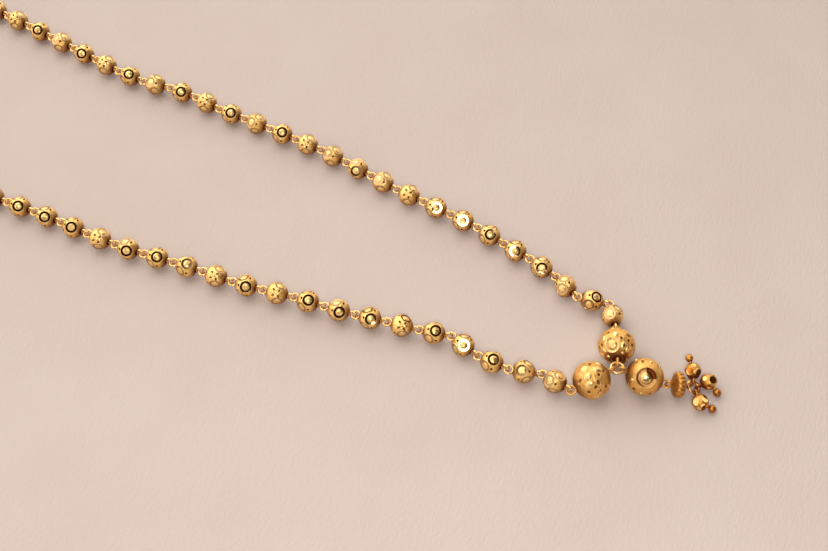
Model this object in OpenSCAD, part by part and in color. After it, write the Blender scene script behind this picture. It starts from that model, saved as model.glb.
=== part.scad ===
// Gold bead-chain necklace with three large balls and a pendant of three small drops.
// It lies on a flat surface: the pendant points to -Y, the clasp is at +Y, and z = 0 is the surface.

/* [Chain beads] */
// Diameter of a small chain bead
bead_d = 4; // [3.9:0.05:4.1]
// Beads in the left strand
left_count = 49; // [48:1:49]
// Beads in the right strand
right_count = 50; // [49:1:50]
// Width of the round cuts that flatten the side of a small bead
bead_cut_d = 1.5; // [1:0.1:1.6]

/* [Wire eyes] */
// Diameter of the wire of an eye
wire_d = 0.38; // [0.34:0.01:0.38]
// Diameter of the centre line of a chain eye
eye_d = 1.56; // [1.54:0.01:1.6]
// Distance from the centre of an eye to the centre of the eye that it holds, where a strand runs evenly
link_gap = 0.6; // [0.56:0.01:0.66]

/* [Large balls] */
// Diameter of the three large balls
ball_d = 6.4; // [6.3:0.05:6.5]
// Distance of each large ball from the middle of the junction
ball_offset = 4.78; // [4.76:0.01:4.84]
// Width of the round cuts around a large ball
ball_cut_d = 3; // [2.4:0.1:3]
// Width of the dome left standing in each of those cuts
ball_dome_d = 1.7; // [1.4:0.1:1.9]
// Height of the horizontal eyes at the chain side of the balls
ball_eye_z = 2.35; // [2.3:0.05:2.4]

/* [Junction ring] */
// Diameter of the centre line of the ring that joins the three balls
junction_d = 2.1; // [2.06:0.01:2.14]
// Height of the junction ring
junction_z = 3.98; // [3.96:0.01:4]

/* [Pendant] */
// Diameter of the flat bead under the pendant ball
flat_bead_d = 4.4; // [4.3:0.05:4.5]
// Thickness of the flat bead at its middle
flat_bead_w = 2.2; // [2.1:0.05:2.3]
// Diameter of the centre line of the ring that carries the drops
drop_ring_d = 2.3; // [2.26:0.01:2.4]
// Wire of the drop ring
drop_ring_wire = 0.5; // [0.44:0.01:0.5]
// Downward slope of the drop ring, in degrees
drop_ring_slope = 28; // [26:1:30]
// Diameter of a drop bead
drop_d = 2.85; // [2.75:0.05:2.9]
// Diameter of the tip ball of a drop
tip_d = 1.4; // [1.2:0.05:1.5]

/* [Clasp] */
// Diameter of the clasp barrel
clasp_d = 4; // [3.6:0.1:4]
// Overall length of the clasp barrel
clasp_len = 10; // [9:0.1:11]

/* [Hidden] */

gold = [0.86, 0.64, 0.30];
$fn = 48;

// Place of the junction: the whole necklace is centred on the origin in X and Y
junction = [-3.4, -130.7, 0];
// Place of the clasp, measured from the junction
clasp_place = [3.2, 277];

// Directions of the three balls from the junction, in degrees from +X
left_dir = 140;
right_dir = 21;
pendant_dir = -79;
// Direction from the pendant ball's eye to the flat bead
flat_bead_dir = -63;

// Turns of a strand away from +Y, as it was laid down.
// columns: bead number, outward turn in degrees
left_turns = [[0, -10], [1, 20], [2, -3], [3, -13], [4, 12], [7, 10], [8, 6], [9, 12],
              [11, 5], [13, 8], [16, 0], [18, 4]];
right_turns = [[0, 58], [1, -15], [2, 26], [3, 13], [5, 10], [7, 3], [10, 8], [12, 2],
               [15, -1], [16, 6], [18, -9], [19, 1], [20, 6], [24, 5]];
// How far each eye hangs from the one before, where the strands were pulled or pushed together.
// columns: bead number, distance between the two eyes' centres
left_gaps = [[0, 0.55], [1, 0.53], [3, 0.66], [4, 0.5], [6, 0.52], [12, 0.62], [18, 0.6]];
right_gaps = [[0, 0.5], [2, 0.52], [5, 0.54], [10, 0.56], [12, 0.5], [15, 0.5], [17, 0.66], [24, 0.7]];
// Beads after which the strands run plainly round to the clasp
left_shown = 19;
right_shown = 25;

// Drops on their ring.
// columns: turn around the ring, outward turn of the tip, downward turn of the tip
left_drop = [-76, 53, 20];
middle_drop = [19, -79, 18];
right_drop = [84, 16, -8];

eye_sink = 0.15;
ball_eye_d = 1.44;
flat_eye_d = 1.3;
flat_edge_w = 0.9;
drop_eye_d = 1.2;
drop_wire_d = 0.3;
tip_neck = 0.2;
neck_d = 0.5;
flat_eye_wire = 0.34;
flat_eye_sink = 0.12;
drop_eye_sink = 0.1;
cut_count = 6;
dome_rise = 0.34;
// How the beads are turned about their axes
bead_spin = 17;
left_spin = 10;
right_spin = 40;
pendant_spin = 2;

bead_reach = bead_d / 2 + eye_d / 2 - eye_sink;
ball_reach = ball_d / 2 + eye_d / 2 - eye_sink;
ball_inner_reach = ball_d / 2 + ball_eye_d / 2 - eye_sink;
// Both eyes of the pendant ball are of the smaller size
pendant_reach = ball_inner_reach;
flat_reach = flat_bead_w / 2 + flat_eye_d / 2 - flat_eye_sink;
drop_reach = drop_d / 2 + drop_eye_d / 2 - drop_eye_sink;
clasp_reach = clasp_len / 2 + eye_d / 2 - eye_sink;

// A point at a distance and direction from another, at a given height
function away(from, dist, dir, z) = [from[0] + dist * cos(dir), from[1] + dist * sin(dir), z];

// Slopes of the balls: their chain side dips to the height of the next eye
ball_dip = asin((ball_d / 2 - ball_eye_z) / ball_reach);
drop_ring_z = 1.33;
// How far the drop ring hangs beyond the middle of the flat bead's eye
drop_ring_play = 0.1;
flat_eye_z = drop_ring_z + (drop_ring_d / 2 + drop_ring_play) * sin(drop_ring_slope);
flat_dip = asin((flat_bead_d / 2 - flat_eye_z) / flat_reach);
pendant_gap = 0.6;
pendant_eye_z = flat_bead_d / 2 + (flat_reach + pendant_gap) * sin(flat_dip);
pendant_dip = asin((ball_d / 2 - pendant_eye_z) / pendant_reach);

left_ball_place = away(junction, ball_offset, left_dir, ball_d / 2);
right_ball_place = away(junction, ball_offset, right_dir, ball_d / 2);
pendant_ball_place = away(junction, ball_offset, pendant_dir, ball_d / 2);
left_start = away(left_ball_place, ball_reach * cos(ball_dip), left_dir, ball_eye_z);
right_start = away(right_ball_place, ball_reach * cos(ball_dip), right_dir, ball_eye_z);
pendant_eye = away(pendant_ball_place, pendant_reach * cos(pendant_dip), pendant_dir, pendant_eye_z);
flat_bead_place = away(pendant_eye, (flat_reach + pendant_gap) * cos(flat_dip), flat_bead_dir,
                       flat_bead_d / 2);
flat_eye = away(flat_bead_place, flat_reach * cos(flat_dip), flat_bead_dir, flat_eye_z);
drop_ring_place = away(flat_eye, (drop_ring_d / 2 + drop_ring_play) * cos(drop_ring_slope), flat_bead_dir,
                       drop_ring_z);

// Eyes of a strand: each one is the centre of a flat-lying eye that holds the next bead's upright eye
function next_z(z, gap) = bead_d / 2 - (z - bead_d / 2) * bead_reach / (bead_reach + gap);
function next_eye(p, k, side, turns, gaps) =
    let (gap = lookup(k, gaps), z = next_z(p[2], gap), drop = p[2] - z, long = 2 * bead_reach + gap,
         run = sqrt(long * long - drop * drop), turn = lookup(k, turns))
    [p[0] + side * run * sin(turn), p[1] + run * cos(turn), z];
function laid_eyes(start, side, turns, gaps, count) =
    [for (k = 0, p = start; k <= count; p = next_eye(p, k, side, turns, gaps), k = k + 1) p];

// The plain way round: straight on, then one arc that meets the clasp squarely
function plain_arc_r(out, along, turn) = (along * sin(turn) - out * cos(turn)) / (1 + sin(turn));
function plain_straight(out, along, turn) = (out * (1 + sin(turn)) + along * cos(turn)) / (1 + sin(turn));
function plain_point(s, straight, arc_r, turn) =
    s < straight
    ? [s * sin(turn), s * cos(turn)]
    : let (a = turn - (s - straight) / arc_r * 180 / PI)
      [straight * sin(turn) - arc_r * (cos(turn) - cos(a)),
       straight * cos(turn) + arc_r * (sin(turn) - sin(a))];
function plain_eyes(from, side, turn, count) =
    let (end_x = junction[0] + clasp_place[0] + side * (clasp_reach + link_gap),
         out = side * (end_x - from[0]),
         along = junction[1] + clasp_place[1] - from[1],
         arc_r = plain_arc_r(out, along, turn),
         straight = plain_straight(out, along, turn),
         total = straight + arc_r * (90 + turn) * PI / 180)
    [for (k = 1, z = next_z(from[2], link_gap); k <= count; z = next_z(z, link_gap), k = k + 1)
        let (q = plain_point(k * total / count, straight, arc_r, turn))
        [from[0] + side * q[0], from[1] + q[1], z]];
function last(v) = v[len(v) - 1];
function strand_eyes(start, side, turns, gaps, shown, count) =
    let (laid = laid_eyes(start, side, turns, gaps, shown))
    concat(laid, plain_eyes(last(laid), side, last(turns)[1], count - shown));

// A closed wire ring lying flat
module wire_ring(ring_d, wire) {
    rotate_extrude($fn = 48) translate([ring_d / 2, 0]) circle(d = wire, $fn = 24);
}

// A wire eye whose plane stands upright along X
module upright_eye(ring_d, wire) {
    rotate([90, 0, 0]) wire_ring(ring_d, wire);
}

// A ball with six round cuts around its drilled axis, which runs along X
module cut_ball(d, cut_d) {
    cut_height = sqrt(d * d - cut_d * cut_d) / 2;
    rotate([0, 90, 0]) intersection() {
        sphere(d = d);
        cylinder(r = cut_height / cos(180 / cut_count), h = 2 * d, center = true, $fn = cut_count);
    }
}

// Low domes that stand in the round cuts of a ball
module cut_domes(d, cut_d, dome_d, rise) {
    cut_height = sqrt(d * d - cut_d * cut_d) / 2;
    dome_r = (dome_d * dome_d / 4 + rise * rise) / (2 * rise);
    for (k = [0 : cut_count - 1])
        rotate([(k + 0.5) * 360 / cut_count, 0, 0]) translate([0, 0, cut_height + rise - dome_r])
            sphere(r = dome_r);
}

// A chain bead, soldered to an upright eye in front and a flat-lying eye behind
module bead_unit(spin) {
    rotate([spin, 0, 0]) cut_ball(bead_d, bead_cut_d);
    translate([-bead_reach, 0, 0]) upright_eye(eye_d, wire_d);
    translate([bead_reach, 0, 0]) wire_ring(eye_d, wire_d);
}

// Puts a piece that lies along X on its bead's centre, a fixed reach before the second eye
module along_chain(p, q, reach) {
    d = q - p;
    long = norm(d);
    translate(q - d * reach / long)
        rotate([0, -asin(d[2] / long), atan2(d[1], d[0])])
            children();
}

module strand(eyes) {
    for (k = [0 : len(eyes) - 2])
        along_chain(eyes[k], eyes[k + 1], bead_reach) bead_unit(bead_spin * k);
}

module left_strand() {
    color(gold) strand(strand_eyes(left_start, -1, left_turns, left_gaps, left_shown, left_count));
}

module right_strand() {
    color(gold) strand(strand_eyes(right_start, 1, right_turns, right_gaps, right_shown, right_count));
}

// A large ball with an upright eye towards the junction and a flat-lying eye away from it
module large_ball(place, dir, dip, spin, outer_reach, outer_eye_d) {
    translate(place) rotate([0, dip, dir]) {
        rotate([spin, 0, 0]) {
            cut_ball(ball_d, ball_cut_d);
            cut_domes(ball_d, ball_cut_d, ball_dome_d, dome_rise);
        }
        translate([-ball_inner_reach, 0, 0]) upright_eye(ball_eye_d, wire_d);
        translate([outer_reach, 0, 0]) wire_ring(outer_eye_d, wire_d);
    }
}

module ball_left() {
    color(gold) large_ball(left_ball_place, left_dir, ball_dip, left_spin, ball_reach, eye_d);
}

module ball_right() {
    color(gold) large_ball(right_ball_place, right_dir, ball_dip, right_spin, ball_reach, eye_d);
}

module ball_pendant() {
    color(gold)
        large_ball(pendant_ball_place, pendant_dir, pendant_dip, pendant_spin, pendant_reach, ball_eye_d);
}

module junction_ring() {
    color(gold) translate(junction + [0, 0, junction_z]) wire_ring(junction_d, wire_d);
}

// A lens with a blunt edge, whose axis runs along X
module lens(d, w, edge_w) {
    rise = (w - edge_w) / 2;
    face_r = (d * d / 4 + rise * rise) / (2 * rise);
    rotate([0, 90, 0]) intersection() {
        translate([0, 0, w / 2 - face_r]) sphere(r = face_r);
        translate([0, 0, face_r - w / 2]) sphere(r = face_r);
        cylinder(d = d, h = w, center = true);
    }
}

// The flat bead has an upright eye on each side
module flat_bead() {
    color(gold) translate(flat_bead_place) rotate([0, flat_dip, flat_bead_dir]) {
        lens(flat_bead_d, flat_bead_w, flat_edge_w);
        for (side = [-1, 1])
            translate([side * flat_reach, 0, 0]) upright_eye(flat_eye_d, flat_eye_wire);
    }
}

module drop_ring() {
    color(gold) translate(drop_ring_place) rotate([0, drop_ring_slope, flat_bead_dir])
        wire_ring(drop_ring_d, drop_ring_wire);
}

// Point on the drop ring's wire at a turn around it from the downhill side
function ring_point(turn) =
    let (r = drop_ring_d / 2, ahead = r * cos(turn) * cos(drop_ring_slope), beside = r * sin(turn))
    [drop_ring_place[0] + ahead * cos(flat_bead_dir) - beside * sin(flat_bead_dir),
     drop_ring_place[1] + ahead * sin(flat_bead_dir) + beside * cos(flat_bead_dir),
     drop_ring_z - r * cos(turn) * sin(drop_ring_slope)];

// A drop: a small bead soldered to an upright eye and, on a short neck, to its tip ball
module drop(row) {
    hold = ring_point(row[0]);
    tip_reach = drop_d / 2 + tip_neck + tip_d / 2;
    color(gold) translate(hold)
        rotate([0, -asin((drop_d / 2 - hold[2]) / drop_reach), flat_bead_dir + row[0]]) {
            upright_eye(drop_eye_d, drop_wire_d);
            translate([drop_reach, 0, 0]) {
                sphere(d = drop_d);
                rotate([0, row[2], row[1]]) {
                    rotate([0, 90, 0]) cylinder(d = neck_d, h = tip_reach);
                    translate([tip_reach, 0, 0]) sphere(d = tip_d);
                }
            }
        }
}

module drop_left() {
    drop(left_drop);
}

module drop_middle() {
    drop(middle_drop);
}

module drop_right() {
    drop(right_drop);
}

// The clasp is a plain barrel with round ends and an upright eye at each end
module clasp() {
    straight = clasp_len - clasp_d;
    color(gold) translate(junction + [clasp_place[0], clasp_place[1], clasp_d / 2]) {
        rotate([0, 90, 0]) cylinder(d = clasp_d, h = straight, center = true);
        for (side = [-1, 1]) {
            translate([side * straight / 2, 0, 0]) sphere(d = clasp_d);
            translate([side * clasp_reach, 0, 0]) upright_eye(eye_d, wire_d);
        }
    }
}

left_strand();
right_strand();
ball_left();
ball_right();
ball_pendant();
junction_ring();
flat_bead();
drop_ring();
drop_left();
drop_middle();
drop_right();
clasp();
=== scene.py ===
# A gold bead-chain mangalsutra lying on pale cloth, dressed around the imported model.
# Lengths in the care dictionaries are millimetres and angles are degrees, unless a note says otherwise.
from math import asin, atan2, cos, pi, radians, sin, sqrt

import bmesh
import bpy
from mathutils import Euler, Matrix, Vector


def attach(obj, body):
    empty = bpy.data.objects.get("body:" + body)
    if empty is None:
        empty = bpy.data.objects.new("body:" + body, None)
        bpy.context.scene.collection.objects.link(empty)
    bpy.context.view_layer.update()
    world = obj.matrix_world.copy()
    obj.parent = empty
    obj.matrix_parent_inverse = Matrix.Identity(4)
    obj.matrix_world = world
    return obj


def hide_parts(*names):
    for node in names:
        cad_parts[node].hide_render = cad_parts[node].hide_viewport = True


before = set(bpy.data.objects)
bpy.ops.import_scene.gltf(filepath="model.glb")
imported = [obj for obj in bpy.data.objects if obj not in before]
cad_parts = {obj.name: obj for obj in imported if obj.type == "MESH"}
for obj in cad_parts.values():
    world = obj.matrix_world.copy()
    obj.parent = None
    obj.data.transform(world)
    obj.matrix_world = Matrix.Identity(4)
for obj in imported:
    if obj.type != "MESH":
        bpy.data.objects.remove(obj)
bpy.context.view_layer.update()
mm = 0.001
goldenTurn = pi * (3 - sqrt(5))
print("stage: frame loaded,", len(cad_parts), "nodes")


# Sizes and the laid-out route, the same as in the part's source
chainCare = {
    "beadWidth": 4.0,
    "wire": 0.38,
    "eyeWidth": 1.56,
    "eyeSink": 0.15,
    "linkGap": 0.6,
    "junction": (-3.4, -130.7),
    "junctionHeight": 3.98,
    "junctionWidth": 2.1,
    "claspPlace": (3.2, 277.0),
    "claspLength": 10.0,
    "claspWidth": 4.0,
}
ballCare = {
    "width": 6.4,
    "offset": 4.78,
    "eyeHeight": 2.35,
    "innerEyeWidth": 1.44,
    "leftDir": 140,
    "rightDir": 21,
    "pendantDir": -79,
}
pendantCare = {
    "dir": -63,
    "gap": 0.6,
    "discWidth": 4.4,
    "discThick": 2.2,
    "discEdge": 0.9,
    "discEyeWidth": 1.3,
    "discEyeWire": 0.34,
    "discEyeSink": 0.12,
    "ringWidth": 2.3,
    "ringWire": 0.5,
    "ringSlope": 28,
    "ringHeight": 1.33,
    "ringPlay": 0.1,
    "dropWidth": 2.85,
    "dropEyeWidth": 1.2,
    "dropEyeWire": 0.3,
    "dropEyeSink": 0.1,
    "tipWidth": 1.4,
    "tipNeck": 0.2,
    "neckWidth": 0.5,
    "neckInBead": 0.1,
    "neckShortOfTip": 0.3,
}
# columns: bead number, outward turn of the strand away from +Y
leftTurns = [(0, -10), (1, 20), (2, -3), (3, -13), (4, 12), (7, 10), (8, 6), (9, 12), (11, 5), (13, 8),
             (16, 0), (18, 4)]
rightTurns = [(0, 58), (1, -15), (2, 26), (3, 13), (5, 10), (7, 3), (10, 8), (12, 2), (15, -1), (16, 6),
              (18, -9), (19, 1), (20, 6), (24, 5)]
# columns: bead number, distance between the centres of the two eyes that hold each other
leftGaps = [(0, 0.55), (1, 0.53), (3, 0.66), (4, 0.5), (6, 0.52), (12, 0.62), (18, 0.6)]
rightGaps = [(0, 0.5), (2, 0.52), (5, 0.54), (10, 0.56), (12, 0.5), (15, 0.5), (17, 0.66), (24, 0.7)]
# columns: turn around the drop ring, outward turn of the tip, downward turn of the tip
dropTurns = {"drop_left": (-76, 53, 20), "drop_middle": (19, -79, 18), "drop_right": (84, 16, -8)}
strandCare = {
    "left_strand": {"side": -1, "turns": leftTurns, "gaps": leftGaps, "shown": 19, "beads": 49},
    "right_strand": {"side": 1, "turns": rightTurns, "gaps": rightGaps, "shown": 25, "beads": 50},
}


def away(start, distance, direction, height):
    return Vector((start[0] + distance * cos(radians(direction)),
                   start[1] + distance * sin(radians(direction)), height))


def tableValue(rows, at):
    for (a, x), (b, y) in zip(rows, rows[1:]):
        if at <= b:
            return x + (y - x) * max(0, at - a) / (b - a)
    return rows[-1][1]


def eyeReach(width, eyeWidth, sink):
    return width / 2 + eyeWidth / 2 - sink


def dipOf(width, reach, eyeHeight):
    return asin((width / 2 - eyeHeight) / reach)


beadReach = eyeReach(chainCare["beadWidth"], chainCare["eyeWidth"], chainCare["eyeSink"])
ballReach = eyeReach(ballCare["width"], chainCare["eyeWidth"], chainCare["eyeSink"])
ballInnerReach = eyeReach(ballCare["width"], ballCare["innerEyeWidth"], chainCare["eyeSink"])
discReach = eyeReach(pendantCare["discThick"], pendantCare["discEyeWidth"], pendantCare["discEyeSink"])
dropReach = eyeReach(pendantCare["dropWidth"], pendantCare["dropEyeWidth"], pendantCare["dropEyeSink"])
claspReach = eyeReach(chainCare["claspLength"], chainCare["eyeWidth"], chainCare["eyeSink"])


def nextHeight(height, gap):
    middle = chainCare["beadWidth"] / 2
    return middle - (height - middle) * beadReach / (beadReach + gap)


def laidEyes(start, care):
    eyes = [start]
    for k in range(care["shown"]):
        here = eyes[-1]
        gap = tableValue(care["gaps"], k)
        height = nextHeight(here.z, gap)
        run = sqrt((2 * beadReach + gap) ** 2 - (here.z - height) ** 2)
        turn = radians(tableValue(care["turns"], k))
        eyes.append(Vector((here.x + care["side"] * run * sin(turn), here.y + run * cos(turn), height)))
    return eyes


def plainEyes(start, care):
    # Straight on, then one arc that meets the clasp squarely
    side, turn = care["side"], radians(care["turns"][-1][1])
    endX = chainCare["junction"][0] + chainCare["claspPlace"][0] + side * (claspReach + chainCare["linkGap"])
    out = side * (endX - start.x)
    along = chainCare["junction"][1] + chainCare["claspPlace"][1] - start.y
    arc = (along * sin(turn) - out * cos(turn)) / (1 + sin(turn))
    straight = (out * (1 + sin(turn)) + along * cos(turn)) / (1 + sin(turn))
    count = care["beads"] - care["shown"]
    total = straight + arc * (pi / 2 + turn)
    eyes, height = [], start.z
    for k in range(1, count + 1):
        height = nextHeight(height, chainCare["linkGap"])
        s = k * total / count
        if s < straight:
            x, y = s * sin(turn), s * cos(turn)
        else:
            a = turn - (s - straight) / arc
            x = straight * sin(turn) - arc * (cos(turn) - cos(a))
            y = straight * cos(turn) + arc * (sin(turn) - sin(a))
        eyes.append(Vector((start.x + side * x, start.y + y, height)))
    return eyes


def poseOf(place, dip, direction):
    # Places a piece that lies along X: first the dip of its front, then its direction
    return Matrix.Translation(place) @ Euler((0, dip, direction)).to_matrix().to_4x4()


def strandPoses(start, care):
    laid = laidEyes(start, care)
    eyes = laid + plainEyes(laid[-1], care)
    poses = []
    for p, q in zip(eyes, eyes[1:]):
        step = q - p
        turn = (-asin(step.z / step.length), atan2(step.y, step.x))
        poses.append((q - step * (beadReach / step.length), turn))
    return poses


middleHeight = ballCare["width"] / 2
ballDip = dipOf(ballCare["width"], ballReach, ballCare["eyeHeight"])
ringReach = pendantCare["ringWidth"] / 2 + pendantCare["ringPlay"]
discEyeHeight = pendantCare["ringHeight"] + ringReach * sin(radians(pendantCare["ringSlope"]))
discDip = dipOf(pendantCare["discWidth"], discReach, discEyeHeight)
pendantEyeHeight = pendantCare["discWidth"] / 2 + (discReach + pendantCare["gap"]) * sin(discDip)
pendantDip = dipOf(ballCare["width"], ballInnerReach, pendantEyeHeight)
leftPlace = away(chainCare["junction"], ballCare["offset"], ballCare["leftDir"], middleHeight)
rightPlace = away(chainCare["junction"], ballCare["offset"], ballCare["rightDir"], middleHeight)
pendantPlace = away(chainCare["junction"], ballCare["offset"], ballCare["pendantDir"], middleHeight)
leftStart = away(leftPlace, ballReach * cos(ballDip), ballCare["leftDir"], ballCare["eyeHeight"])
rightStart = away(rightPlace, ballReach * cos(ballDip), ballCare["rightDir"], ballCare["eyeHeight"])
pendantEye = away(pendantPlace, ballInnerReach * cos(pendantDip), ballCare["pendantDir"], pendantEyeHeight)
discPlace = away(pendantEye, (discReach + pendantCare["gap"]) * cos(discDip), pendantCare["dir"],
                 pendantCare["discWidth"] / 2)
discEye = away(discPlace, discReach * cos(discDip), pendantCare["dir"], discEyeHeight)
ringPlace = away(discEye, ringReach * cos(radians(pendantCare["ringSlope"])), pendantCare["dir"],
                 pendantCare["ringHeight"])
ringPose = poseOf(ringPlace, radians(pendantCare["ringSlope"]), radians(pendantCare["dir"]))


# Node work: sockets that take sums, and one method that adds any node
class Sock:
    def __init__(self, tree, socket):
        self.tree, self.socket = tree, socket

    def worked(self, operation, *values):
        return self.tree.add("ShaderNodeMath", {"operation": operation}, dict(enumerate(values)))

    def __add__(self, other):
        return self.worked("ADD", self, other)

    def __sub__(self, other):
        return self.worked("SUBTRACT", self, other)

    def __rsub__(self, other):
        return self.worked("SUBTRACT", other, self)

    def __mul__(self, other):
        return self.worked("MULTIPLY", self, other)

    __radd__ = __add__
    __rmul__ = __mul__


class Tree:
    def __init__(self, nodeTree):
        self.nodes, self.links = nodeTree.nodes, nodeTree.links

    def add(self, kind, settings=None, values=None, out=0):
        node = self.nodes.new(kind)
        for name, value in (settings or {}).items():
            if name == "stops":
                self.setStops(node.color_ramp, value)
            else:
                setattr(node, name, value)
        for name, value in (values or {}).items():
            if isinstance(value, Sock):
                self.links.new(value.socket, node.inputs[name])
            else:
                node.inputs[name].default_value = value
        return Sock(self, node.outputs[out]) if node.outputs else node

    def setStops(self, ramp, stops):
        while len(ramp.elements) < len(stops):
            ramp.elements.new(0.5)
        for element, (at, colour) in zip(ramp.elements, stops):
            element.position = at
            element.color = colour


def newMaterial(name):
    material = bpy.data.materials.new(name)
    material.use_nodes = True
    material.node_tree.nodes.clear()
    return material, Tree(material.node_tree)


# Finishes. Colours are linear red, green and blue, scales are per metre, the top of the painted underside
# shade and bumpDepth are metres.
goldCare = {
    "chain": {"satin": (0.98, 0.65, 0.24), "cut": (1.0, 0.73, 0.36), "satinRough": 0.47, "grain": 0.6},
    "ball": {"satin": (0.80, 0.47, 0.143), "cut": (1.0, 0.72, 0.34), "satinRough": 0.56, "grain": 0.5},
    "wire": {"satin": (1.0, 0.68, 0.30), "cut": (1.0, 0.80, 0.50), "satinRough": 0.28, "grain": 0.08},
    "drop": {"satin": (0.59, 0.285, 0.07), "cut": (0.92, 0.57, 0.20), "satinRough": 0.42, "grain": 0.25},
    "clasp": {"satin": (0.90, 0.58, 0.21), "cut": (1.0, 0.78, 0.42), "satinRough": 0.30, "grain": 0.22},
}
finishCare = {
    "cutRough": 0.07,
    # Dark red-brown that faces take with their recess value: partly tarnish in pits and at the soldered ends,
    # partly painted shade and painted dark reflection in grooves, drilled ends and the notch
    "darkTarnishAndShade": (0.18, 0.042, 0.011),
    "darkTarnishAndShadeRough": 0.5,
    "patchScale": 420,
    "patchEdges": (0.38, 0.62),
    "grainScale": 9500,
    "dustScale": 2600,
    "dustRough": 0.16,
    "lumpScale": 1500,
    "lumpShare": 20.0,
    "cutBump": 0.04,
    "bumpDepth": 0.00002,
    # Painted shade and tarnish at the bead ends: its strength, and where it starts as a share of the radius
    "endShadeAndTarnish": 1.0,
    "endStart": 0.57,
    # Painted underside shade: a darker, redder colour mixed in below the given height
    "under": (0.40, 0.10, 0.012),
    "underTop": 0.0027,
    "warmth": (0.93, 0.86, 0.72),
}


def goldMaterial(name, care):
    material, tree = newMaterial("gold_" + name)
    place = tree.add("ShaderNodeTexCoord", out="Object")
    cut = tree.add("ShaderNodeAttribute", {"attribute_name": "cut"}, out="Fac")
    recess = tree.add("ShaderNodeAttribute", {"attribute_name": "recess"}, out="Fac")
    patches = tree.add("ShaderNodeTexNoise", {}, {
        "Vector": place, "Scale": finishCare["patchScale"], "Detail": 3.0})
    grain = tree.add("ShaderNodeTexNoise", {}, {
        "Vector": place, "Scale": finishCare["grainScale"], "Detail": 4.0, "Roughness": 0.6})
    dust = tree.add("ShaderNodeTexNoise", {}, {
        "Vector": place, "Scale": finishCare["dustScale"], "Detail": 2.0})
    lumps = tree.add("ShaderNodeTexNoise", {}, {
        "Vector": place, "Scale": finishCare["lumpScale"], "Detail": 1.0})
    # Patches of the satin gold are a little warmer
    satin = (*care["satin"], 1)
    warmer = (*(a * b for a, b in zip(care["satin"], finishCare["warmth"])), 1)
    first, last = finishCare["patchEdges"]
    patch = tree.add("ShaderNodeValToRGB", {"stops": [(first, warmer), (last, satin)]}, {"Fac": patches})
    # Painted shade: below a set height the colour turns darker and redder, standing in for the shade and the
    # reflected shaded cloth under each piece
    height = tree.add("ShaderNodeSeparateXYZ", {}, {0: place}, "Z")
    low = tree.add("ShaderNodeMapRange", {"interpolation_type": "SMOOTHSTEP"}, {
        "Value": height, "From Min": 0.0, "From Max": finishCare["underTop"], "To Min": 1.0, "To Max": 0.0})
    body = tree.add("ShaderNodeMix", {"data_type": "RGBA"}, {
        "Factor": low, "A": patch, "B": (*finishCare["under"], 1)}, 2)
    bright = tree.add("ShaderNodeMix", {"data_type": "RGBA"}, {
        "Factor": cut, "A": body, "B": (*care["cut"], 1)}, 2)
    # Painted shade and tarnish: the recess value mixes in the dark red-brown colour and a rougher finish
    colour = tree.add("ShaderNodeMix", {"data_type": "RGBA"}, {
        "Factor": recess, "A": bright, "B": (*finishCare["darkTarnishAndShade"], 1)}, 2)
    satinPart = (1 - cut) * (1 - recess)
    uneven = (dust - 0.5) * finishCare["dustRough"] + care["satinRough"]
    polished = satinPart * uneven + cut * finishCare["cutRough"]
    rough = polished + (1 - cut) * recess * finishCare["darkTarnishAndShadeRough"]
    relief = (grain + lumps * finishCare["lumpShare"]) * (satinPart + finishCare["cutBump"])
    bump = tree.add("ShaderNodeBump", {}, {
        "Strength": care["grain"], "Distance": finishCare["bumpDepth"], "Height": relief})
    shader = tree.add("ShaderNodeBsdfPrincipled", {}, {
        "Base Color": colour, "Metallic": 1.0, "Roughness": rough, "Normal": bump})
    tree.add("ShaderNodeOutputMaterial", {}, {"Surface": shader})
    return material


golds = {name: goldMaterial(name, care) for name, care in goldCare.items()}
print("stage: gold finishes made")


# Meshes: a mesh in the making holds its work mesh and two face values, how cut a face is and how much of the
# dark colour it takes, partly tarnish and partly painted shade
def newWork():
    work = bmesh.new()
    work.faces.layers.float.new("cut")
    work.faces.layers.float.new("recess")
    return work


def markFaces(work, faces, cut=0.0, recess=0.0):
    cutLayer, recessLayer = work.faces.layers.float["cut"], work.faces.layers.float["recess"]
    for face in faces:
        face[cutLayer] = cut
        face[recessLayer] = recess
        face.smooth = True


def bridgeRows(work, outer, inner, cut=0.0, recess=0.0):
    # Joins two closed rows of the same count. The rows run left about the outward normal.
    faces = []
    for k in range(len(outer)):
        n = (k + 1) % len(outer)
        faces.append(work.faces.new((outer[k], outer[n], inner[n], inner[k])))
    markFaces(work, faces, cut, recess)
    return faces


def closeRow(work, row, middle, cut=0.0, recess=0.0):
    tip = work.verts.new(middle)
    faces = [work.faces.new((row[k], row[(k + 1) % len(row)], tip)) for k in range(len(row))]
    markFaces(work, faces, cut, recess)


def finishWork(work, name, sharpAngle=32):
    work.normal_update()
    for edge in work.edges:
        if len(edge.link_faces) == 2 and edge.calc_face_angle(0) > radians(sharpAngle):
            edge.smooth = False
    mesh = bpy.data.meshes.new(name)
    work.to_mesh(mesh)
    work.free()
    return mesh


def makePiece(name, mesh, gold, nodes=()):
    piece = bpy.data.objects.new(name, mesh)
    bpy.context.scene.collection.objects.link(piece)
    if not mesh.materials:
        mesh.materials.append(golds[gold])
    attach(piece, "root")
    if nodes:
        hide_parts(*nodes)
    return piece


# A cut on a ball: where its middle points, and its rows from the rim inwards.
# A row is (share of the rim's radius, height above the rim's plane, how cut, how recessed, which sets how much
# dark tarnish and painted shade it takes).
# A notch is a deep gap in the outer rows, from one angle on the rim to another, painted fully in the dark
# colour as a painted dark reflection.
leafTaper = 0.35  # the lower, the blunter a leaf-shaped rim
evenShare = 0.87  # area around each point of an even spread, in squares of the spacing


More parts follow.
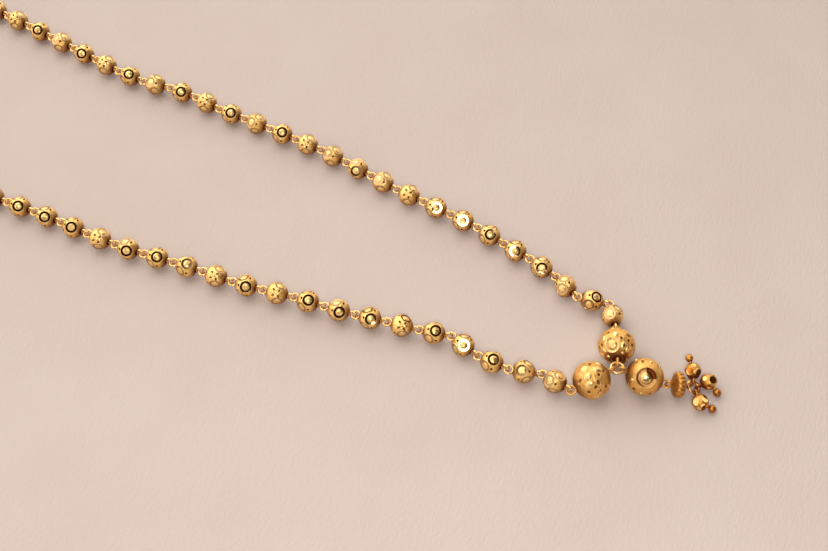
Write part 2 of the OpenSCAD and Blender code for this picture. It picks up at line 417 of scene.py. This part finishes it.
def sideFrame(normal):
    across = Vector((1, 0, 0)) - normal * normal.x
    if across.length < 0.3:
        across = Vector((0, 1, 0)) - normal * normal.y
    across.normalize()
    return across, normal.cross(across)


def rimShare(kind, k):
    # Place on the rim as shares of the half length and half width
    angle = 2 * pi * k / kind["points"]
    if kind.get("leaf"):
        return cos(angle), sin(angle) * abs(sin(angle)) ** leafTaper
    return cos(angle), sin(angle)


def rimPoints(radius, cut):
    kind, normal = cut["kind"], cut["normal"]
    across, up = sideFrame(normal)
    turn = radians(cut.get("turn", 0))
    first, second = across * cos(turn) + up * sin(turn), up * cos(turn) - across * sin(turn)
    half, wide = kind["width"] / 2, kind.get("thin", kind["width"]) / 2
    points = []
    for k in range(kind["points"]):
        a, b = rimShare(kind, k)
        side = first * (a * half) + second * (b * wide)
        points.append(side + normal * sqrt(radius ** 2 - side.length_squared))
    return points


def outside(point, radius, cuts, margin):
    return all((point - cut["normal"] * radius).length >= cut["kind"]["width"] / 2 + margin for cut in cuts)


def darkenEndsShadeAndTarnish(work, radius):
    # Faces near each end take more of the dark colour: partly tarnish around the soldered eyes, partly painted
    # shade where bead and eye meet
    recessLayer, start = work.faces.layers.float["recess"], finishCare["endStart"]
    for face in work.faces:
        near = (abs(face.calc_center_median().x) / radius - start) / (1 - start)
        face[recessLayer] = finishCare["endShadeAndTarnish"] * max(0, near)


def cutBallWork(radius, spacing, cuts):
    # Skins the rims and an even spread of points between them, then works each cut inwards
    work = newWork()
    rims = [[work.verts.new(point) for point in rimPoints(radius, cut)] for cut in cuts]
    count = int(4 * pi * radius ** 2 / (spacing ** 2 * evenShare))
    for k in range(count):
        z = 1 - 2 * (k + 0.5) / count
        flat = sqrt(1 - z * z)
        point = Vector((z, flat * cos(goldenTurn * k), flat * sin(goldenTurn * k))) * radius
        if outside(point, radius, cuts, spacing * 0.5):
            work.verts.new(point)
    bmesh.ops.convex_hull(work, input=work.verts[:])
    rimSets = [set(rim) for rim in rims]
    inner = [face for face in work.faces if any(all(v in rim for v in face.verts) for rim in rimSets)]
    bmesh.ops.delete(work, geom=inner, context="FACES_KEEP_BOUNDARY")
    markFaces(work, work.faces)
    darkenEndsShadeAndTarnish(work, radius)
    for cut, rim in zip(cuts, rims):
        workCut(work, cut, rim)
    return work


def workCut(work, cut, rim):
    # Rows step inwards from the rim, and a cap closes the last one
    kind, normal, row = cut["kind"], cut["normal"], rim
    base = sum((v.co for v in rim), Vector()) / len(rim)
    notch = kind.get("notch", {"from": 0, "to": 0, "inner": 1, "depth": 0})
    low, high = notch["from"] / 360 * len(rim), notch["to"] / 360 * len(rim)
    for share, height, polished, recessed in kind["rows"]:
        deep = [low <= k < high and share > notch["inner"] for k in range(len(rim))]
        inner = [work.verts.new(base + (v.co - base) * share + normal * (height - notch["depth"] * isDeep))
                 for v, isDeep in zip(rim, deep)]
        faces = bridgeRows(work, row, inner, polished, recessed)
        # Notched faces are painted fully in the dark colour and left uncut: a painted dark reflection
        markFaces(work, [face for face, isDeep in zip(faces, deep) if isDeep], 0, 1)
        row = inner
    share, height, polished, recessed = kind["rows"][-1]
    closeRow(work, row, base + normal * (height + kind.get("peak", 0)), polished, recessed)


def onBall(latitude, around):
    # Latitude towards the bead's front eye end (+X side is the rear eye), around from +Z
    a, b = radians(latitude), radians(around)
    return Vector((-sin(a), -cos(a) * sin(b), cos(a) * cos(b)))


# The last column of each row paints the dark colour into ring grooves, pits, slits and drilled ends: partly
# tarnish, partly painted shade and painted dark reflection
beadCutCare = {
    "ring": {"width": 2.14, "points": 28, "peak": 0.012, "rows": [
        (0.97, -0.02, 0.8, 0.4), (0.63, -0.03, 1, 0.64), (0.61, -0.02, 0.6, 0.7), (0.57, 0.03, 0.3, 0.3),
        (0.42, 0.10, 0.3, 0), (0.2, 0.15, 0.3, 0)]},
    "pit": {"width": 0.56, "points": 10, "rows": [(0.75, -0.04, 0.3, 0.3), (0.6, -0.22, 0, 1)]},
    "slit": {"width": 0.74, "thin": 0.46, "points": 12, "leaf": True, "rows": [
        (0.8, -0.03, 0.6, 0.2), (0.5, -0.2, 0.3, 0.85)]},
    "dot": {"width": 0.42, "points": 8, "rows": [(0.8, 0.06, 0.5, 0), (0.4, 0.09, 0.6, 0)]},
    "end": {"width": 1.5, "points": 20, "rows": [(0.9, -0.03, 0.3, 0.5), (0.8, -0.24, 0, 1),
                                                 (0.4, -0.28, 0, 1)]},
    "spacing": 0.34,
    "ringLatitude": 18,
    "pitLatitude": 24,
    "starLatitude": 8,
    "starReach": 20.5,
    "dotReach": 19,
}


def cutAt(kind, latitude, around, turn=0):
    return {"kind": beadCutCare[kind], "normal": onBall(latitude, around), "turn": turn}


def starCuts(care, latitude, around, count, reach, first=0.0):
    # Cuts set in a circle about a middle point, each pointing away from it. The first one stands on by the
    # given share of the step between two.
    middle = onBall(latitude, around)
    across, up = sideFrame(middle)
    cuts = []
    for k in range(count):
        angle = 2 * pi * (k + first) / count
        side = across * cos(angle) + up * sin(angle)
        normal = middle * cos(radians(reach)) + side * sin(radians(reach))
        outwards = (side - normal * side.dot(normal)).normalized()
        side, rise = sideFrame(normal)
        turn = atan2(outwards.dot(rise), outwards.dot(side))
        cuts.append({"kind": care, "normal": normal, "turn": turn * 180 / pi})
    return cuts


def beadMesh():
    # Five ringed cuts and one star go round the bead, alternately nearer one end and the other
    cuts = [cutAt("end", 90, 0), cutAt("end", -90, 0)]
    for k in range(6):
        side = 1 if k % 2 == 0 else -1
        if k == 3:
            middle = (beadCutCare["starLatitude"], 180)
            cuts += starCuts(beadCutCare["slit"], *middle, 4, beadCutCare["starReach"], 0.5)
            cuts += starCuts(beadCutCare["dot"], *middle, 4, beadCutCare["dotReach"])
            cuts.append(cutAt("dot", *middle))
            continue
        cuts.append(cutAt("ring", side * beadCutCare["ringLatitude"], 60 * k))
        cuts.append(cutAt("pit", -side * beadCutCare["pitLatitude"], 60 * k))
    work = cutBallWork(chainCare["beadWidth"] / 2, beadCutCare["spacing"], cuts)
    bmesh.ops.scale(work, vec=(mm, mm, mm), verts=work.verts)
    return finishWork(work, "bead", 18)


# Wire rings: rows of a round wire about a centre line in the plane of two directions
def ringWork(work, pose, width, wire, upright=False, segments=40, sides=12):
    rows = []
    for k in range(segments):
        a = 2 * pi * k / segments
        row = []
        for s in range(sides):
            b = 2 * pi * s / sides
            reach = width / 2 + wire / 2 * cos(b)
            flat = Vector((reach * cos(a), reach * sin(a), wire / 2 * sin(b)))
            if upright:
                flat = Vector((flat.x, -flat.z, flat.y))
            row.append(work.verts.new(pose @ flat))
        rows.append(row)
    for k in range(segments):
        bridgeRows(work, rows[(k + 1) % segments], rows[k])


# Geometry Nodes: puts a template on points that carry a turn and a spin
def onPointsTree():
    group = bpy.data.node_groups.new("piecesAlongStrand", "GeometryNodeTree")
    face = group.interface
    face.new_socket("Geometry", in_out="INPUT", socket_type="NodeSocketGeometry")
    face.new_socket("Piece", in_out="INPUT", socket_type="NodeSocketObject")
    face.new_socket("Size", in_out="INPUT", socket_type="NodeSocketFloat")
    face.new_socket("Finish", in_out="INPUT", socket_type="NodeSocketMaterial")
    face.new_socket("Geometry", in_out="OUTPUT", socket_type="NodeSocketGeometry")
    tree = Tree(group)
    entry = group.nodes.new("NodeGroupInput")
    points, piece, size, finish = (Sock(tree, entry.outputs[k]) for k in range(4))
    shape = tree.add("GeometryNodeObjectInfo", {}, {"Object": piece}, "Geometry")
    turn = tree.add("GeometryNodeInputNamedAttribute", {"data_type": "FLOAT_VECTOR"}, {"Name": "turn"})
    spin = tree.add("GeometryNodeInputNamedAttribute", {"data_type": "FLOAT"}, {"Name": "spin"})
    laid = tree.add("FunctionNodeEulerToRotation", {}, {0: turn})
    about = tree.add("FunctionNodeAxisAngleToRotation", {}, {"Axis": (1, 0, 0), "Angle": spin})
    turned = tree.add("FunctionNodeRotateRotation", {"rotation_space": "LOCAL"}, {0: laid, 1: about})
    placed = tree.add("GeometryNodeInstanceOnPoints", {}, {"Points": points, "Instance": shape,
                                                          "Rotation": turned, "Scale": size})
    real = tree.add("GeometryNodeRealizeInstances", {}, {0: placed})
    finished = tree.add("GeometryNodeSetMaterial", {}, {"Geometry": real, "Material": finish})
    leave = group.nodes.new("NodeGroupOutput")
    tree.links.new(finished.socket, leave.inputs[0])
    return group


def plainMeshOf(thing):
    # The evaluated shape as a plain mesh, with the modifiers gone
    graph = bpy.context.evaluated_depsgraph_get()
    graph.update()
    return bpy.data.meshes.new_from_object(thing.evaluated_get(graph), preserve_all_data_layers=True,
                                           depsgraph=graph)


def setInputs(modifier, values):
    for item in modifier.node_group.interface.items_tree:
        if item.in_out == "INPUT" and item.name in values:
            modifier[item.identifier] = values[item.name]


def spreadOnPoints(group, name, template, poses, spins, gold):
    cloud = bpy.data.meshes.new(name + "Points")
    cloud.from_pydata([place * mm for place, turn in poses], [], [])
    cloud.attributes.new("turn", "FLOAT_VECTOR", "POINT")
    cloud.attributes.new("spin", "FLOAT", "POINT")
    for k, (place, (dip, direction)) in enumerate(poses):
        cloud.attributes["turn"].data[k].vector = (0, dip, direction)
        cloud.attributes["spin"].data[k].value = radians(spins[k])
    holder = bpy.data.objects.new(name + "Points", cloud)
    bpy.context.scene.collection.objects.link(holder)
    modifier = holder.modifiers.new("spread", "NODES")
    modifier.node_group = group
    setInputs(modifier, {"Piece": template, "Size": 1.0, "Finish": golds[gold]})
    mesh = plainMeshOf(holder)
    mesh.name = name
    mesh.materials.clear()
    mesh.materials.append(golds[gold])
    mesh.polygons.foreach_set("material_index", [0] * len(mesh.polygons))
    holder.modifiers.remove(modifier)
    bpy.data.objects.remove(holder)
    return mesh


def templateObject(name, mesh):
    template = bpy.data.objects.new(name, mesh)
    bpy.context.scene.collection.objects.link(template)
    return template


# How the shown beads are turned about their axes, from the junction outwards, so that a ringed cut, a star or
# a plain stretch faces up as it was seen. The rest follow on by a fixed step.
spinCare = {
    "left_strand": [20, 35, 351, 335, 344, 150, 324, 319, 339, 150, 321, 150, 348, 335, 314, 145, 330, 325,
                    330],
    "right_strand": [334, 354, 304, 325, 324, 335, 327, 328, 150, 30, 308, 25, 145, 335, 20, 330, 150, 325,
                     30, 335, 150, 320, 30, 330, 150],
    "step": 77,
}


def spinsOf(strand, count):
    known = spinCare[strand]
    return [known[k] if k < len(known) else known[-1] + spinCare["step"] * (k - len(known) + 1)
            for k in range(count)]


def eyePairMesh():
    # The upright front eye and the flat-lying rear eye of one bead
    work = newWork()
    for side, upright in ((-1, True), (1, False)):
        ringWork(work, Matrix.Translation((side * beadReach, 0, 0)), chainCare["eyeWidth"], chainCare["wire"],
                 upright, segments=18, sides=6)
    bmesh.ops.scale(work, vec=(mm, mm, mm), verts=work.verts)
    return finishWork(work, "eyePair", 180)


def makeStrands():
    group = onPointsTree()
    bead = templateObject("beadTemplate", beadMesh())
    eyes = templateObject("eyeTemplate", eyePairMesh())
    print("stage: bead template has", len(bead.data.polygons), "faces")
    for name, start in (("left_strand", leftStart), ("right_strand", rightStart)):
        poses = strandPoses(start, strandCare[name])
        spins = spinsOf(name, len(poses))
        beads = spreadOnPoints(group, name + "_beads", bead, poses, spins, "chain")
        links = spreadOnPoints(group, name + "_eyes", eyes, poses, [0] * len(poses), "wire")
        makePiece(name + "_beads", beads, "chain", [name])
        makePiece(name + "_eyes", links, "wire", [name])
        print("stage:", name, len(beads.polygons), "bead faces,", len(links.polygons), "eye faces")
    for template in (bead, eyes):
        bpy.data.objects.remove(template)
    bpy.data.node_groups.remove(group)


makeStrands()


# Large balls, each with its own cuts
# The last column of each row paints the dark colour into grooves, leaves, pits and drilled ends: partly
# tarnish, partly painted shade and painted dark reflection
ballCutCare = {
    "bigRing": {"width": 3.4, "points": 48, "peak": 0.02, "rows": [
        (0.97, -0.02, 0.4, 0.2), (0.88, -0.10, 0.3, 0.5), (0.76, -0.15, 0.3, 0.7), (0.66, -0.13, 0.3, 0.75),
        (0.54, -0.02, 0.3, 0.5), (0.42, 0.10, 0.3, 0.1), (0.22, 0.20, 0.6, 0)],
        "notch": {"from": 8, "to": 100, "inner": 0.5, "depth": 0.7}},
    "ring": {"width": 2.6, "points": 36, "peak": 0.02, "rows": [
        (0.96, -0.012, 0.5, 0.1), (0.76, -0.09, 0.6, 0.2), (0.62, -0.06, 0.5, 0.3), (0.55, 0.03, 0.3, 0),
        (0.40, 0.12, 0.3, 0), (0.2, 0.17, 0.3, 0)]},
    "leaf": {"width": 1.3, "thin": 0.62, "points": 16, "leaf": True, "rows": [
        (0.85, -0.03, 0.5, 0.1), (0.5, -0.22, 0.3, 0.7)]},
    "facet": {"width": 1.4, "thin": 1.0, "points": 18, "peak": 0.015, "rows": [
        (0.9, 0.06, 0.2, 0), (0.68, 0.14, 0.5, 0), (0.36, 0.19, 0.6, 0)]},
    "lump": {"width": 1.6, "thin": 1.25, "points": 20, "peak": 0.01, "rows": [
        (0.93, 0.05, 0.2, 0), (0.74, 0.13, 0.4, 0), (0.42, 0.18, 0.45, 0)]},
    "bump": {"width": 0.72, "points": 14, "peak": 0.01, "rows": [
        (0.94, -0.05, 0.6, 0.5), (0.8, 0.04, 0.5, 0), (0.45, 0.14, 0.5, 0)]},
    "pit": {"width": 0.66, "points": 12, "rows": [(0.78, -0.05, 0.2, 0.3), (0.6, -0.25, 0, 0.8)]},
    "end": {"width": 1.9, "points": 24, "rows": [(0.9, -0.03, 0.3, 0.5), (0.8, -0.28, 0, 1),
                                                 (0.4, -0.34, 0, 1)]},
    "spacing": 0.42,
}


def ballCutAt(kind, latitude, around, turn=0):
    return {"kind": ballCutCare[kind], "normal": onBall(latitude, around), "turn": turn}


# Cuts of one third of a ball, which go round it three times. columns: kind, latitude, around, turn
ballPatterns = {
    "ball_pendant": [("bigRing", 4, 32, 0), ("bump", 0, -27, 0), ("pit", 46, -28, 0), ("bump", 44, -58, 0),
                     ("pit", -46, -28, 0), ("leaf", 26, -27, 90), ("leaf", -26, -27, 90)],
    "ball_right": [("ring", 38, -28, 0), ("ring", -36, 32, 0), ("facet", 40, 19, 0), ("facet", 42, 46, 0),
                   ("facet", 5, -53, 0), ("facet", 2, -12, 0), ("pit", 17, 8, 0), ("pit", 18, 34, 0),
                   ("pit", 22, 54, 0), ("bump", 62, 33, 0), ("leaf", -1, 33, 90), ("bump", -30, -20, 0),
                   ("pit", -8, -34, 0), ("leaf", -42, -40, 60)],
    "ball_left": [("lump", -11, 24, 0), ("lump", 27, 3, 0), ("lump", -14, -8, 10), ("lump", -20, -34, 10),
                  ("pit", 45, -12, 0), ("pit", 22, -18, 0), ("leaf", 9, -38, 90), ("pit", -4, -48, 0),
                  ("pit", -30, -58, 0), ("pit", 26, -66, 0), ("leaf", 14, 32, 60), ("leaf", -42, -6, 20),
                  ("facet", 42, 34, 120), ("leaf", 3, -69, 40)],
}


def patternCuts(name):
    cuts = [ballCutAt("end", 90, 0), ballCutAt("end", -90, 0)]
    for third in range(3):
        for kind, latitude, around, turn in ballPatterns[name]:
            cuts.append(ballCutAt(kind, latitude, around + 120 * third, turn))
    return cuts


def makeBall(name, place, dip, direction, cuts, outerReach, outerEyeWidth):
    work = cutBallWork(ballCare["width"] / 2, ballCutCare["spacing"], cuts)
    inner, outer = Matrix.Translation((-ballInnerReach, 0, 0)), Matrix.Translation((outerReach, 0, 0))
    ringWork(work, inner, ballCare["innerEyeWidth"], chainCare["wire"], upright=True)
    ringWork(work, outer, outerEyeWidth, chainCare["wire"])
    pose = Matrix.Scale(mm, 4) @ poseOf(place, dip, radians(direction))
    bmesh.ops.transform(work, matrix=pose, verts=work.verts)
    makePiece(name + "_cut", finishWork(work, name), "ball", [name])


def makeBalls():
    makeBall("ball_left", leftPlace, ballDip, ballCare["leftDir"], patternCuts("ball_left"), ballReach,
             chainCare["eyeWidth"])
    makeBall("ball_right", rightPlace, ballDip, ballCare["rightDir"], patternCuts("ball_right"), ballReach,
             chainCare["eyeWidth"])
    makeBall("ball_pendant", pendantPlace, pendantDip, ballCare["pendantDir"], patternCuts("ball_pendant"),
             ballInnerReach, ballCare["innerEyeWidth"])
    print("stage: large balls made")


makeBalls()


# The junction ring and the drop ring
def makeRings():
    junctionPose = Matrix.Translation((*chainCare["junction"], chainCare["junctionHeight"]))
    for name, pose, width, wire in (
            ("junction_ring", junctionPose, chainCare["junctionWidth"], chainCare["wire"]),
            ("drop_ring", ringPose, pendantCare["ringWidth"], pendantCare["ringWire"])):
        work = newWork()
        ringWork(work, Matrix.Scale(mm, 4) @ pose, width, wire)
        makePiece(name + "_wire", finishWork(work, name + "_wire", 180), "wire", [name])
    print("stage: rings made")


makeRings()


# The flat bead: a turned outline with shallow flutes round its rim, and an upright eye on each side
discCare = {
    "steps": 10,
    "around": 112,
    "flutes": 14,
    "fluteDepth": 0.2,
    "fluteStart": 0.9,
    "firstRadius": 0.3,
    "edgeInset": 0.12,
    "shoulderInset": 0.03,
    "shoulderHalf": 0.72,
    "rimHalf": 0.35,
}


def discOutline():
    # Half of a lens with a blunt edge, then its mirror image
    radius, half = pendantCare["discWidth"] / 2, pendantCare["discThick"] / 2
    rise = half - pendantCare["discEdge"] / 2
    face = (radius ** 2 + rise ** 2) / (2 * rise)
    outline, first = [], discCare["firstRadius"]
    for k in range(discCare["steps"]):
        r = first + (radius - discCare["edgeInset"] - first) * k / (discCare["steps"] - 1)
        outline.append((half - face + sqrt(face ** 2 - r ** 2), r))
    edge = outline[-1][0]
    outline.append((edge * discCare["shoulderHalf"], radius - discCare["shoulderInset"]))
    outline.append((edge * discCare["rimHalf"], radius))
    return outline + [(-x, r) for x, r in outline[::-1]]


def makeDisc():
    work = newWork()
    radius, fluteStart = pendantCare["discWidth"] / 2, discCare["fluteStart"]
    rows = []
    for x, r in discOutline():
        depth = discCare["fluteDepth"] * max(0, (r - fluteStart) / (radius - fluteStart))
        row = []
        for k in range(discCare["around"]):
            a = 2 * pi * k / discCare["around"]
            shallow = sqrt(abs(cos(a * discCare["flutes"] / 2)))
            reach = r - depth * (1 - shallow)
            row.append(work.verts.new((x, reach * cos(a), reach * sin(a))))
        rows.append(row)
    for k in range(len(rows) - 1):
        bridgeRows(work, rows[k], rows[k + 1])
    closeRow(work, rows[0][::-1], (pendantCare["discThick"] / 2, 0, 0))
    closeRow(work, rows[-1], (-pendantCare["discThick"] / 2, 0, 0))
    for side in (-1, 1):
        ringWork(work, Matrix.Translation((side * discReach, 0, 0)), pendantCare["discEyeWidth"],
                 pendantCare["discEyeWire"], upright=True, segments=32, sides=10)
    pose = Matrix.Scale(mm, 4) @ poseOf(discPlace, discDip, radians(pendantCare["dir"]))
    bmesh.ops.transform(work, matrix=pose, verts=work.verts)
    bmesh.ops.recalc_face_normals(work, faces=work.faces)
    makePiece("flat_bead_turned", finishWork(work, "flatBead"), "drop", ["flat_bead"])
    print("stage: flat bead made")


makeDisc()


# Drops: a facetted bead on an upright eye, and a plain tip ball on a short neck
# The last column of each row paints the dark colour into the drilled end: partly tarnish, partly painted shade
dropCutCare = {
    "facet": {"width": 1.3, "points": 20, "rows": [(0.97, -0.006, 1, 0)]},
    "smallFacet": {"width": 0.8, "points": 14, "rows": [(0.96, -0.005, 1, 0)]},
    "end": {"width": 0.9, "points": 16, "rows": [(0.85, -0.03, 0.5, 0), (0.7, -0.12, 0, 0.8)]},
    "spacing": 0.3,
    "tipSpacing": 0.16,
    "facets": 5,
    "smallFacetStep": 48,
    "smallFacetLimit": 62,
}


def dropCutAt(kind, latitude, around):
    return {"kind": dropCutCare[kind], "normal": onBall(latitude, around)}


# columns: latitude of the large facets, turn of the first one
dropFacets = {"drop_left": (-10, -26), "drop_middle": (-31, 23), "drop_right": (24, 33)}


def dropCuts(name):
    # A belt of large facets, with small ones between them on either side where there is room
    latitude, first = dropFacets[name]
    step = 360 / dropCutCare["facets"]
    cuts = [dropCutAt("end", 90, 0)]
    for k in range(dropCutCare["facets"]):
        cuts.append(dropCutAt("facet", latitude, step * k + first))
        for side in (-1, 1):
            other = latitude + side * dropCutCare["smallFacetStep"]
            if abs(other) < dropCutCare["smallFacetLimit"]:
                cuts.append(dropCutAt("smallFacet", other, step * k + step / 2 + first))
    return cuts


def joinWork(work, other, pose):
    # Adds another work mesh, posed, and frees it
    bmesh.ops.transform(other, matrix=pose, verts=other.verts)
    spare = bpy.data.meshes.new("spare")
    other.to_mesh(spare)
    other.free()
    work.from_mesh(spare)
    bpy.data.meshes.remove(spare)


def neckRows(work, radius, start, end, sides=16):
    rows = [[work.verts.new((x, radius * cos(2 * pi * k / sides), radius * sin(2 * pi * k / sides)))
             for k in range(sides)] for x in (start, end)]
    bridgeRows(work, rows[0], rows[1])
    closeRow(work, rows[0][::-1], (start, 0, 0))
    closeRow(work, rows[1], (end, 0, 0))


def makeDrop(name, row):
    around, outwards, downwards = row
    hold = ringPose @ Vector((pendantCare["ringWidth"] / 2 * cos(radians(around)),
                              pendantCare["ringWidth"] / 2 * sin(radians(around)), 0))
    rise = -asin((pendantCare["dropWidth"] / 2 - hold.z) / dropReach)
    pose = Matrix.Scale(mm, 4) @ poseOf(hold, rise, radians(pendantCare["dir"] + around))
    beadRadius, tipRadius = pendantCare["dropWidth"] / 2, pendantCare["tipWidth"] / 2
    tipReach = beadRadius + pendantCare["tipNeck"] + tipRadius
    tipTurn = poseOf((dropReach, 0, 0), radians(downwards), radians(outwards))
    work = newWork()
    ringWork(work, Matrix.Identity(4), pendantCare["dropEyeWidth"], pendantCare["dropEyeWire"],
             upright=True, segments=32, sides=10)
    bead = cutBallWork(beadRadius, dropCutCare["spacing"], dropCuts(name))
    joinWork(work, bead, Matrix.Translation((dropReach, 0, 0)))
    tip = cutBallWork(tipRadius, dropCutCare["tipSpacing"], [])
    joinWork(work, tip, tipTurn @ Matrix.Translation((tipReach, 0, 0)))
    neck = newWork()
    neckRows(neck, pendantCare["neckWidth"] / 2, beadRadius - pendantCare["neckInBead"],
             tipReach - pendantCare["neckShortOfTip"])
    joinWork(work, neck, tipTurn)
    bmesh.ops.transform(work, matrix=pose, verts=work.verts)
    makePiece(name + "_beaded", finishWork(work, name), "drop", [name])


for dropName, dropRow in dropTurns.items():
    makeDrop(dropName, dropRow)
print("stage: drops made")


# The clasp: a turned barrel with a fine groove at each end and at its middle
claspCare = {
    "steps": 12,
    "around": 48,
    "grooveInset": 0.5,
    "grooveHalf": 0.16,
    "grooveFloorHalf": 0.06,
    "grooveDepth": 0.1,
}


def claspOutline(radius, straight):
    # A round end, the straight side with its grooves, and the end's mirror image
    steps, outline = claspCare["steps"], []
    for k in range(1, steps + 1):
        a = pi / 2 * k / steps
        outline.append((straight + radius * cos(a), radius * sin(a)))
    top, floor = claspCare["grooveHalf"], claspCare["grooveFloorHalf"]
    low = radius - claspCare["grooveDepth"]
    for x in (straight - claspCare["grooveInset"], 0.0, -straight + claspCare["grooveInset"]):
        outline += [(x + top, radius), (x + floor, low), (x - floor, low), (x - top, radius)]
    return outline + [(-x, r) for x, r in outline[steps - 1::-1]]


def makeClasp():
    work = newWork()
    radius, length = chainCare["claspWidth"] / 2, chainCare["claspLength"]
    rows = []
    for x, r in claspOutline(radius, (length - chainCare["claspWidth"]) / 2):
        angles = [2 * pi * k / claspCare["around"] for k in range(claspCare["around"])]
        rows.append([work.verts.new((x, r * cos(a), r * sin(a))) for a in angles])
    for k in range(len(rows) - 1):
        bridgeRows(work, rows[k], rows[k + 1])
    closeRow(work, rows[0], (length / 2, 0, 0))
    closeRow(work, rows[-1], (-length / 2, 0, 0))
    for side in (-1, 1):
        ringWork(work, Matrix.Translation((side * claspReach, 0, 0)), chainCare["eyeWidth"], chainCare["wire"],
                 upright=True)
    place = (chainCare["junction"][0] + chainCare["claspPlace"][0],
             chainCare["junction"][1] + chainCare["claspPlace"][1], radius)
    bmesh.ops.transform(work, matrix=Matrix.Scale(mm, 4) @ Matrix.Translation(place), verts=work.verts)
    bmesh.ops.recalc_face_normals(work, faces=work.faces)
    makePiece("clasp_barrel", finishWork(work, "clasp"), "clasp", ["clasp"])
    print("stage: clasp made")


makeClasp()


# Cloth, lights and camera. These lengths are metres, and the scales are per metre.
stageCare = {
    "clothSize": 8.0,
    "clothPale": (0.556, 0.468, 0.427),
    "clothWarm": (0.538, 0.449, 0.407),
    "clothRough": 0.9,
    "mottle": 55.0,
    "mottleEdges": (0.35, 0.65),
    "grain": 900.0,
    "grainSquash": (1.0, 2.2, 1.0),
    "fuzz": 3200.0,
    "fuzzShare": 0.4,
    "bumpStrength": 0.45,
    "bumpDepth": 0.00018,
    "air": (1.34, 1.27, 1.17),
}
# The room that the metal mirrors. columns: direction from +X, elevation, inner and outer reach, colour
roomCare = {
    "back": (50, 56, 10, 66, (1.62, 1.54, 1.42)),
    "side": (-72, 42, 30, 44, (0.06, 0.025, 0.01)),
    "photographer": (-152, 47, 30, 44, (0.03, 0.012, 0.005)),
}
lightCare = {
    "key": {"from": (0.30, 0.66, 0.69), "distance": 0.36, "size": 0.46, "power": 0.58,
            "colour": (1.0, 0.96, 0.91)},
    "panel": {"from": (-0.522, -0.280, 0.806), "distance": 0.291, "size": 0.078, "power": 0.31,
              "colour": (1.0, 0.98, 0.93)},
}
cameraCare = {
    "lookAt": (-0.0007, -0.09106, 0.002),
    "lookDir": (0.498, 0.248, -0.831),
    "distance": 0.218,
    "lens": 52.87,
    "sensor": 36,
    "near": 0.005,
    "far": 50,
}


def clothMaterial():
    material, tree = newMaterial("cloth")
    place = tree.add("ShaderNodeTexCoord", out="Object")
    mottle = tree.add("ShaderNodeTexNoise", {}, {"Vector": place, "Scale": stageCare["mottle"], "Detail": 4.0})
    pale, warm = (*stageCare["clothPale"], 1), (*stageCare["clothWarm"], 1)
    first, last = stageCare["mottleEdges"]
    colour = tree.add("ShaderNodeValToRGB", {"stops": [(first, warm), (last, pale)]}, {"Fac": mottle})
    threads = tree.add("ShaderNodeMapping", {}, {"Vector": place, "Scale": stageCare["grainSquash"]})
    grain = tree.add("ShaderNodeTexNoise", {}, {"Vector": threads, "Scale": stageCare["grain"], "Detail": 3.0})
    fuzz = tree.add("ShaderNodeTexNoise", {}, {"Vector": place, "Scale": stageCare["fuzz"], "Detail": 2.0})
    bump = tree.add("ShaderNodeBump", {}, {
        "Strength": stageCare["bumpStrength"], "Distance": stageCare["bumpDepth"],
        "Height": grain + fuzz * stageCare["fuzzShare"]})
    shader = tree.add("ShaderNodeBsdfPrincipled", {}, {
        "Base Color": colour, "Roughness": stageCare["clothRough"], "Normal": bump})
    tree.add("ShaderNodeOutputMaterial", {}, {"Surface": shader})
    return material


def makeCloth():
    half = stageCare["clothSize"] / 2
    mesh = bpy.data.meshes.new("cloth")
    corners = [(-half, -half, 0), (half, -half, 0), (half, half, 0), (-half, half, 0)]
    mesh.from_pydata(corners, [], [(0, 1, 2, 3)])
    mesh.materials.append(clothMaterial())
    cloth = bpy.data.objects.new("cloth", mesh)
    bpy.context.scene.collection.objects.link(cloth)


def skyPoint(direction, elevation):
    a, b = radians(direction), radians(elevation)
    return (cos(b) * cos(a), cos(b) * sin(a), sin(b))


def makeLights():
    world = bpy.data.worlds.new("air")
    bpy.context.scene.world = world
    world.use_nodes = True
    world.node_tree.nodes.clear()
    tree = Tree(world.node_tree)
    towards = tree.add("ShaderNodeTexCoord", out="Generated")
    colour = tree.add("ShaderNodeCombineColor", {}, dict(enumerate(stageCare["air"])))
    for direction, elevation, inner, outer, tint in roomCare.values():
        nearness = tree.add("ShaderNodeVectorMath", {"operation": "DOT_PRODUCT"},
                            {0: towards, 1: skyPoint(direction, elevation)}, "Value")
        mask = tree.add("ShaderNodeMapRange", {"interpolation_type": "SMOOTHSTEP"},
                        {"Value": nearness, "From Min": cos(radians(outer)), "From Max": cos(radians(inner))})
        colour = tree.add("ShaderNodeMix", {"data_type": "RGBA"}, {
            "Factor": mask, "A": colour, "B": (*tint, 1)}, 2)
    air = tree.add("ShaderNodeBackground", {}, {"Color": colour})
    tree.add("ShaderNodeOutputWorld", {}, {"Surface": air})
    target = Vector(cameraCare["lookAt"])
    for name, care in lightCare.items():
        data = bpy.data.lights.new(name, "AREA")
        data.energy, data.size, data.color = care["power"], care["size"], care["colour"]
        light = bpy.data.objects.new(name, data)
        outwards = Vector(care["from"]).normalized()
        light.location = target + outwards * care["distance"]
        light.rotation_euler = (-outwards).to_track_quat("-Z", "Y").to_euler()
        bpy.context.scene.collection.objects.link(light)


def makeCamera():
    data = bpy.data.cameras.new("camera")
    data.sensor_width, data.lens = cameraCare["sensor"], cameraCare["lens"]
    data.clip_start, data.clip_end = cameraCare["near"], cameraCare["far"]
    camera = bpy.data.objects.new("camera", data)
    look = Vector(cameraCare["lookDir"]).normalized()
    camera.location = Vector(cameraCare["lookAt"]) - look * cameraCare["distance"]
    camera.rotation_euler = look.to_track_quat("-Z", "Y").to_euler()
    bpy.context.scene.collection.objects.link(camera)
    bpy.context.scene.camera = camera


makeCloth()
makeLights()
makeCamera()
bpy.context.scene.view_settings.view_transform = "Standard"
print("stage: cloth, lights and camera made")
